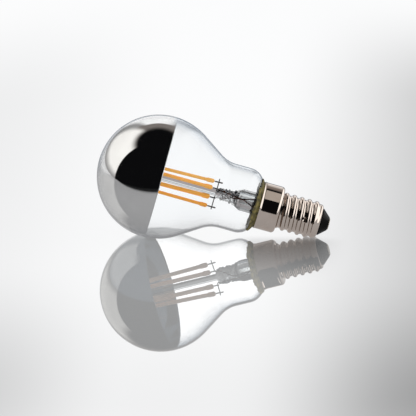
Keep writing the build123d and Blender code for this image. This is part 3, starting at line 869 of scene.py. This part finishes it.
def black_glass_finish():
    """Black glass: near black with a warm bloom in clouds, glossy with a faint orange-peel face."""
    material, tree, shader = finish("black_glass")
    set_sockets(shader, Specular_IOR_Level=0.08)
    clouds = mottled(tree, Scale=420.0, Detail=4.0, Contrast=1.8)
    feed(tree, shader, Base_Color=over(tree, GLASS_BLACK, GLASS_BLOOM, clouds))
    feed(tree, shader, Roughness=value_between(tree, clouds, 0.07, 0.14))
    roughen(tree, shader, mottled(tree, Scale=1800.0, Detail=1.0), ORANGE_PEEL)
    return material


tip_glass = skin("insulator_cone", [(insulator_grid(), True, False)], "insulator")
wear(tip_glass, black_glass_finish())

# Centre contact
# Turned brass plate with its rivet through the insulator, its face slightly crowned. Its nickel plating is
# worn in patches, where it rubs on the socket's spring.
CONTACT_R = 2.1
CONTACT_END = 64.162
CONTACT_EDGE = 0.15
CONTACT_CROWN = 0.04
CONTACT_SEAT = 0.01
CONTACT_PITS = 0.01
CONTACT_COLUMNS = 96
CONTACT_BRASS = ((0.52, 0.44, 0.34, 1.0), (0.70, 0.64, 0.56, 1.0))


def contact_grid():
    """Profile turned about the axis: rivet, underside, rounded rim and a face crowned by a shallow arc."""
    seat_s = CONE_TIP + CONTACT_SEAT
    rivet_r = RIVET_R - FIT
    rim_s = CONTACT_END - CONTACT_EDGE - CONTACT_CROWN
    face_r = np.linspace(CONTACT_R - CONTACT_EDGE, 0, 24)[:, None]
    face_s = CONTACT_END - CONTACT_CROWN * (face_r / CONTACT_R) ** 2
    profile = np.concatenate((
        np.array(((0.0, INSULATOR_FACE), (rivet_r, INSULATOR_FACE), (rivet_r, seat_s), (CONTACT_R, seat_s))),
        arc(CONTACT_R - CONTACT_EDGE, rim_s, CONTACT_EDGE, 0, pi / 2, 8),
        np.concatenate((face_r, face_s), axis=1),
    ))
    return turned(profile, CONTACT_COLUMNS)


def contact_finish():
    """Brass with worn nickel: two metals in clouds, faintly pitted."""
    material, tree, shader = finish("contact_brass")
    set_sockets(shader, Metallic=1.0)
    clouds = mottled(tree, Scale=900.0, Detail=4.0, Contrast=2.0)
    feed(tree, shader, Base_Color=over(tree, *CONTACT_BRASS, clouds))
    feed(tree, shader, Roughness=value_between(tree, clouds, 0.32, 0.2))
    roughen(tree, shader, clouds, CONTACT_PITS)
    return material


contact = skin("contact_plate", [(contact_grid(), False, False)], "centre_contact")
wear(contact, contact_finish())

# Table
# White acrylic sheet, dull inside with a polished face, on which the lamp lies. Only its gloss is perfectly
# sharp, so the cards and the studio below can tell it from the lamp's metal and show it a plain pale room.
FLOOR_R = 0.9
FLOOR_SINK = 2e-5
FLOOR_RINGS = 20
FLOOR_SPOKES = 97
BLACK = (0.0, 0.0, 0.0, 1.0)
WHITE = (1.0, 1.0, 1.0, 1.0)
FLOOR_DULL = (0.97, 0.98, 0.985, 1.0)
FLOOR_FAR = (0.42, 0.44, 0.47, 1.0)
FLOOR_STEEP = (0.42, 0.385, 0.385, 1.0)
FLOOR_MIRRORED = (0.50, 0.50, 0.505, 1.0)
FLOOR_BEHIND = (0.95, 0.95, 0.955, 1.0)
FLOOR_EDGE = (0.24, 0.27, 0.31, 1.0)
FLOOR_FRONT = (0.02, 0.02, 0.02, 1.0)
FLOOR_AGAIN = (0.16, 0.145, 0.135, 1.0)
FLOOR_LAST = (0.06, 0.08, 0.105, 1.0)
FLOOR_GLOSS = 0.67
FLOOR_GLOSS_MIRRORED = 0.22
FLOOR_GLOSS_GRAZED = 0.28
FLOOR_GLOW = 0.85
FAR_Y = (0.13, 0.24)
BEHIND_Y = (0.06, 0.14)
EDGE_Y = (0.04, 0.1)
FRONT_Y = (-0.12, -0.26)
UNDER_LAMP_Y = (-0.002, 0.014)
FALL_RIGHT = 0.44
FALL_RIGHT_X = (0.01, 0.1)
FALL_LEFT = 0.12
FALL_LEFT_X = (-0.02, -0.1)
FALL_NEAR = 0.1
FALL_NEAR_Y = (-0.03, -0.15)
FALL_CORNER = 0.16
FALL_CORNER_X = (0.02, 0.07)
FALL_CORNER_Y = (-0.02, -0.14)
FALL_REACH = (0.28, 0.15)
CAP_PAINTED_SHADOW = 0.68
CAP_PAINTED_SHADOW_Y = ((-0.042, 0.0), (0.001, -0.006))
CAP_PAINTED_SHADOW_X = ((0.006, 0.016), (0.05, 0.034))
STEEP_FACING = (0.8, 0.66)
GRAZED_FACING = (0.62, 0.97)
STEM_LEAST_FACES = 5.5


def stage_object(name, grid):
    """Flat stage piece from a grid of points whose columns don't close, with its faces upwards."""
    rows, columns = grid.shape[:2]
    quads = skin_faces(rows, columns, False).reshape(rows - 1, columns, 4)[:, :-1].reshape(-1, 4)
    mesh = bpy.data.meshes.new(name)
    mesh.from_pydata(grid.reshape(-1, 3).tolist(), [], quads.tolist())
    piece = bpy.data.objects.new(name, mesh)
    bpy.context.scene.collection.objects.link(piece)
    return piece


def minus(tree, value, taken):
    """Difference of two sockets or plain numbers."""
    return math_of(tree, "SUBTRACT", value, taken)


def mixed(tree, first, second, share):
    """Shader that goes from the first to the second as the share goes from 0 to 1."""
    mix = tree.nodes.new("ShaderNodeMixShader")
    feed(tree, mix, Fac=share)
    tree.links.new(first.outputs[0], mix.inputs[1])
    tree.links.new(second.outputs[0], mix.inputs[2])
    return mix


def floor_finish():
    """Dull white under a sharp gloss, with painted fall-off shade to the sides and front and a painted shadow
    before the cap.

    Polished metal sees it in painted grey, darker in front and darkest at second hand. Glass shows it plain,
    but in painted grey in its far part and through the stem, standing in for the light falling off there too."""
    material, tree, shader = finish("white_acrylic")
    place = tree.nodes.new("ShaderNodeTexCoord")
    parts = tree.nodes.new("ShaderNodeSeparateXYZ")
    feed(tree, parts, Vector=place.outputs["Object"])
    x = parts.outputs["X"]
    y = parts.outputs["Y"]
    path = tree.nodes.new("ShaderNodeLightPath").outputs
    facing = tree.nodes.new("ShaderNodeLayerWeight").outputs["Facing"]

    # Painted shade: the table darkens towards the sides and the front.
    fall = math_of(tree, "ADD", times(tree, soft_step(tree, x, *FALL_RIGHT_X), FALL_RIGHT),
                   times(tree, soft_step(tree, x, *FALL_LEFT_X), FALL_LEFT))
    fall = math_of(tree, "ADD", fall, times(tree, soft_step(tree, y, *FALL_NEAR_Y), FALL_NEAR))
    sideways = soft_step(tree, math_of(tree, "ABSOLUTE", x), *FALL_CORNER_X)
    corner = times(tree, sideways, soft_step(tree, y, *FALL_CORNER_Y), FALL_CORNER)
    reach = tree.nodes.new("ShaderNodeVectorMath")
    reach.operation = "LENGTH"
    tree.links.new(place.outputs["Object"], reach.inputs[0])
    within = soft_step(tree, reach.outputs["Value"], *FALL_REACH)
    fall = times(tree, math_of(tree, "ADD", fall, corner), within)
    # Painted shadow on the table before the cap.
    sides = [soft_step(tree, y, *ends) for ends in CAP_PAINTED_SHADOW_Y]
    sides += [soft_step(tree, x, *ends) for ends in CAP_PAINTED_SHADOW_X]
    painted_shadow = times(tree, CAP_PAINTED_SHADOW, *sides)

    hidden = minus(tree, 1.0, path["Is Camera Ray"])
    mirrored = math_of(tree, "MINIMUM", path["Glossy Depth"], 1.0)
    again = math_of(tree, "GREATER_THAN", path["Glossy Depth"], SECOND_BOUNCE)
    in_glass = math_of(tree, "MINIMUM", path["Transmission Depth"], 1.0)
    in_crown = times(tree, mirrored, in_glass)
    # A ray that has crossed six faces of glass or more has gone through the stem.
    through_stem = math_of(tree, "GREATER_THAN", path["Transmission Depth"], STEM_LEAST_FACES)
    steep = times(tree, soft_step(tree, facing, *STEEP_FACING), through_stem, minus(tree, hidden, mirrored))
    edge = times(tree, soft_step(tree, y, *EDGE_Y), minus(tree, mirrored, in_crown))
    # Painted shade and painted reflections: fall-off, the shadow before the cap and grey tones for rays from
    # metal, glass or stem.
    colour = FLOOR_DULL
    for layer, mask in (
        (BLACK, fall),
        (BLACK, painted_shadow),
        (FLOOR_FAR, times(tree, soft_step(tree, y, *FAR_Y), hidden)),
        (FLOOR_STEEP, steep),
        (FLOOR_MIRRORED, mirrored),
        (FLOOR_BEHIND, times(tree, soft_step(tree, y, *BEHIND_Y), in_crown)),
        (FLOOR_EDGE, edge),
        (FLOOR_FRONT, times(tree, soft_step(tree, y, *FRONT_Y), mirrored)),
        (FLOOR_AGAIN, again),
        (FLOOR_LAST, times(tree, again, in_glass)),
    ):
        colour = over(tree, colour, layer, mask)

    seen_clear = times(tree, minus(tree, in_glass, in_crown), soft_step(tree, y, *UNDER_LAMP_Y))
    seen_clear = math_of(tree, "MAXIMUM", seen_clear, steep)
    shaded = tree.nodes.new("ShaderNodeBsdfDiffuse")
    feed(tree, shaded, Color=colour)
    lit = tree.nodes.new("ShaderNodeEmission")
    feed(tree, lit, Color=colour)
    glow = math_of(tree, "MULTIPLY_ADD", seen_clear, 1.0 - FLOOR_GLOW, FLOOR_GLOW)
    dull = mixed(tree, shaded, lit, glow)

    gloss = tree.nodes.new("ShaderNodeBsdfGlossy")
    set_sockets(gloss, Roughness=0.0)
    feed(tree, gloss, Color=over(tree, WHITE, BLACK, fall))
    grazed = times(tree, soft_step(tree, facing, *GRAZED_FACING), in_crown)
    polish = math_of(tree, "MULTIPLY_ADD", mirrored, FLOOR_GLOSS_MIRRORED - FLOOR_GLOSS, FLOOR_GLOSS)
    polish = math_of(tree, "MULTIPLY_ADD", grazed, FLOOR_GLOSS_GRAZED - FLOOR_GLOSS_MIRRORED, polish)
    polish = times(tree, polish, minus(tree, 1.0, math_of(tree, "MAXIMUM", edge, seen_clear)))
    output = next(n for n in tree.nodes if n.type == "OUTPUT_MATERIAL")
    feed(tree, output, Surface=mixed(tree, dull, gloss, polish).outputs[0])
    tree.nodes.remove(shader)
    return material


ring = np.linspace(0, FLOOR_R, FLOOR_RINGS)[:, None]
swing = np.linspace(0, 2 * pi, FLOOR_SPOKES)
sunk = np.full((FLOOR_RINGS, FLOOR_SPOKES), -FLOOR_SINK)
table = stage_object("table_top", np.stack((ring * np.cos(swing), ring * np.sin(swing), sunk), -1))
wear(table, floor_finish())

# Reflector cards
# A beige and a white sheet of card, held side by side over the cap to give its metal two light stripes. They
# show only in the lamp's own shine: they light and shade nothing, and the table doesn't mirror them.
CARD_Y = (-0.0946, 0.042)
CARD_Z = 0.15
CARDS = {
    "beige_card": ((0.0605, 0.080), (0.44, 0.42, 0.39, 1.0)),
    "white_card": ((0.045, 0.0605), (0.95, 0.95, 0.94, 1.0)),
}


def card_finish(name, light):
    """Evenly lit card, left out of the table's sharp gloss."""
    material, tree, shader = finish(name)
    set_sockets(shader, Base_Color=BLACK, Emission_Color=light, Emission_Strength=1.0)
    path = tree.nodes.new("ShaderNodeLightPath").outputs
    feed(tree, shader, Alpha=minus(tree, 1.0, path["Is Singular Ray"]))
    return material


for name, (card_x, light) in CARDS.items():
    across, along = np.meshgrid(card_x, CARD_Y, indexing="ij")
    card = stage_object(name, np.stack((across, along, np.full_like(across, CARD_Z)), -1))
    wear(card, card_finish(name, light))
    card.visible_camera = False
    card.visible_diffuse = False
    card.visible_transmission = False
    card.visible_shadow = False

# Studio
# Dark room with a lit backdrop behind the table, a warm softbox at the left and a light box beyond the cap,
# as the polished metal and the glass show them. The light on dull surfaces is even.
CAMERA_TURN = radians(4.5)
DARK = (0.004, 0.004, 0.0045, 1.0)
BACK_BROWN = (0.23, 0.205, 0.19, 1.0)
BACK_GREY = (0.36, 0.355, 0.35, 1.0)
BACKDROP = (0.98, 0.98, 0.985, 1.0)
BACKDROP_MIRRORED = (1.2, 1.2, 1.2, 1.0)
HORIZON = (0.32, 0.35, 0.39, 1.0)
SOFTBOX = (1.12, 1.10, 1.06, 1.0)
SIDE_BOX = (1.3, 1.3, 1.28, 1.0)
PLAIN = (0.975, 0.975, 0.98, 1.0)
BACK_ASIDE = (-89.0, 1.5, 89.0, 6.0)
BACK_BROWN_RISE = (60.0, 46.0)
BACK_GREY_RISE = (37.0, 30.0)
BACKDROP_ASIDE = (-15.0, 4.0, 15.0, 8.0)
BACKDROP_RISE = (39.0, 36.0)
HORIZON_ASIDE = (-28.0, 6.0, 89.0, 6.0)
HORIZON_RISE = (7.0, 2.0)
SOFTBOX_ASIDE = (-89.0, 1.5, -27.0, 6.0)
SOFTBOX_RISE = (4.0, 6.0, 51.0, 7.0)
SIDE_BOX_LEAN = (0.2, 0.34)
SIDE_BOX_RISE = (-4.0, -2.0)
AGAIN_SHADE = 0.65
STEM_SHADE = 0.8
STEM_FACES = 7.0
STEM_FACES_SPAN = 1.5


def window(tree, value, low, low_edge, high, high_edge):
    """Mask that is 1 between two limits, with a soft edge of its own width at each."""
    opens = soft_step(tree, value, low - low_edge, low + low_edge)
    closes = soft_step(tree, value, high + high_edge, high - high_edge)
    return times(tree, opens, closes)


def studio_world():
    """The room by the direction of sight, in degrees aside of the camera's line and above the table.

    The backdrop goes from brown above to grey, and to white in its middle, with a grey band at the horizon.
    It is darker through the stem and at second hand. The camera, dull surfaces and the table see it plain."""
    world = bpy.data.worlds.new("studio")
    world.use_nodes = True
    world.cycles.sampling_method = "NONE"
    tree = world.node_tree
    tree.nodes.clear()
    sight = tree.nodes.new("ShaderNodeTexCoord").outputs["Generated"]
    turned_sight = tree.nodes.new("ShaderNodeVectorRotate")
    turned_sight.rotation_type = "Z_AXIS"
    set_sockets(turned_sight, Angle=-CAMERA_TURN)
    feed(tree, turned_sight, Vector=sight)
    parts = tree.nodes.new("ShaderNodeSeparateXYZ")
    feed(tree, parts, Vector=turned_sight.outputs["Vector"])
    right, away, up = parts.outputs
    aside = math_of(tree, "DEGREES", math_of(tree, "ARCTAN2", right, away))
    rise = math_of(tree, "DEGREES", math_of(tree, "ARCSINE", up))
    lean = tree.nodes.new("ShaderNodeVectorMath")
    lean.operation = "DOT_PRODUCT"
    lean.inputs[1].default_value = lamp_axis
    tree.links.new(sight, lean.inputs[0])
    to_cap = soft_step(tree, lean.outputs["Value"], *SIDE_BOX_LEAN)

    path = tree.nodes.new("ShaderNodeLightPath").outputs
    through_glass = path["Is Transmission Ray"]
    mirrored = times(tree, math_of(tree, "MINIMUM", path["Glossy Depth"], 1.0), through_glass)
    again = math_of(tree, "GREATER_THAN", path["Glossy Depth"], SECOND_BOUNCE)
    once = minus(tree, 1.0, again)
    # Six to eight faces of glass: past the stem, but not along the bulb's own wall.
    behind_stem = math_of(tree, "COMPARE", path["Transmission Depth"], STEM_FACES, STEM_FACES_SPAN)
    scattered = math_of(tree, "MINIMUM", path["Diffuse Depth"], 1.0)
    in_table = times(tree, once, path["Is Singular Ray"], path["Is Reflection Ray"])
    plain = math_of(tree, "MAXIMUM", path["Is Camera Ray"], scattered)
    plain = math_of(tree, "MAXIMUM", plain, in_table)

    back = window(tree, aside, *BACK_ASIDE)
    backdrop = over(tree, BACKDROP, BACKDROP_MIRRORED, mirrored)
    middle = window(tree, aside, *BACKDROP_ASIDE)
    low = times(tree, window(tree, aside, *HORIZON_ASIDE), soft_step(tree, rise, *HORIZON_RISE))
    beyond_cap = times(tree, to_cap, soft_step(tree, rise, *SIDE_BOX_RISE))
    room = DARK
    for light, mask in (
        (BACK_BROWN, times(tree, back, soft_step(tree, rise, *BACK_BROWN_RISE))),
        (BACK_GREY, times(tree, back, soft_step(tree, rise, *BACK_GREY_RISE))),
        (backdrop, times(tree, middle, soft_step(tree, rise, *BACKDROP_RISE))),
        (HORIZON, times(tree, low, minus(tree, 1.0, mirrored))),
        (SOFTBOX, times(tree, window(tree, aside, *SOFTBOX_ASIDE), window(tree, rise, *SOFTBOX_RISE))),
        (SIDE_BOX, times(tree, beyond_cap, path["Is Glossy Ray"], once)),
        (DARK, times(tree, again, through_glass, AGAIN_SHADE)),
        (DARK, times(tree, behind_stem, mirrored, STEM_SHADE)),
        (PLAIN, plain),
    ):
        room = over(tree, room, light, mask)
    sky = tree.nodes.new("ShaderNodeBackground")
    feed(tree, sky, Color=room)
    output = tree.nodes.new("ShaderNodeOutputWorld")
    feed(tree, output, Surface=sky.outputs["Background"])
    return world


bpy.context.scene.world = studio_world()

# Camera
# Long lens on a stand, a little to the right of the lamp's broad side and looking down at it, with the small
# roll that the photo shows. Its reach and offsets are in metres from the globe's centre.
CAMERA_RISE = radians(22.21)
CAMERA_ROLL = radians(-0.75)
CAMERA_REACH = 1.413
CAMERA_ACROSS = 0.01769
CAMERA_UP = -0.01160
LENS = 337.2
SENSOR = 36.0
CLIP_END = 20.0

flat_dir = np.array((-sin(CAMERA_TURN), cos(CAMERA_TURN), 0.0))
view_dir = flat_dir * cos(CAMERA_RISE) - np.array((0.0, 0.0, sin(CAMERA_RISE)))
level = np.array((cos(CAMERA_TURN), sin(CAMERA_TURN), 0.0))
upright = np.cross(level, view_dir)
eye = globe_centre - CAMERA_REACH * view_dir + CAMERA_ACROSS * level + CAMERA_UP * upright
camera_x = level * cos(CAMERA_ROLL) + upright * sin(CAMERA_ROLL)
camera_y = upright * cos(CAMERA_ROLL) - level * sin(CAMERA_ROLL)
pose = Matrix.Identity(4)
for column, vector in enumerate((camera_x, camera_y, -view_dir, eye)):
    pose.col[column][:3] = vector
camera = bpy.data.objects.new("camera", bpy.data.cameras.new("camera"))
bpy.context.scene.collection.objects.link(camera)
camera.matrix_world = pose
camera.data.lens = LENS
camera.data.sensor_width = SENSOR
camera.data.clip_end = CLIP_END
bpy.context.scene.camera = camera
bpy.context.scene.view_settings.view_transform = "Standard"
